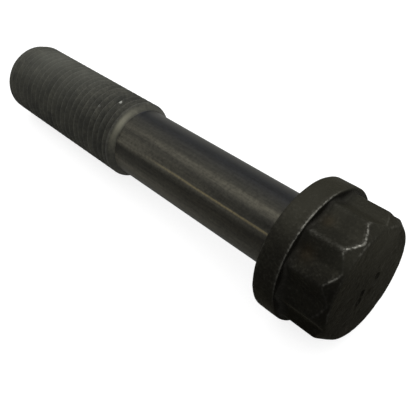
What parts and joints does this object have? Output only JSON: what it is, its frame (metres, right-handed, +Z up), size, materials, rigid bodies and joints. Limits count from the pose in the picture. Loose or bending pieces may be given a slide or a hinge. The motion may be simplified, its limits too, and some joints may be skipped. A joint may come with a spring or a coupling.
{
  "type": "connecting rod bolt",
  "caption": "Flanged connecting rod bolt with a twelve-point head, a plain shank with a rounded shoulder and a fine right-hand thread, in blackened steel.",
  "frame": {"origin": "centre of the bounding box's bottom face, on the surface that the bolt lies on", "axes": "+X runs from the tip of the thread to the head, along the longest side of the box; +Z is up. The bolt lies on its side, on the rim of its flange and the tip end of its thread, so its axis rises by 3.0 degrees towards the head"},
  "size_m": [0.0718, 0.0184, 0.0185],
  "materials": {
    "black_steel": "forged and turned alloy steel with a dark phosphate and oxide finish: half matt on the head and thread, semi-gloss with fine length-wise streaks on the shank, worn bright on the edges"
  },
  "bodies": {
    "root": {"connecting_rod_bolt": "black_steel"}
  },
  "joints": []
}
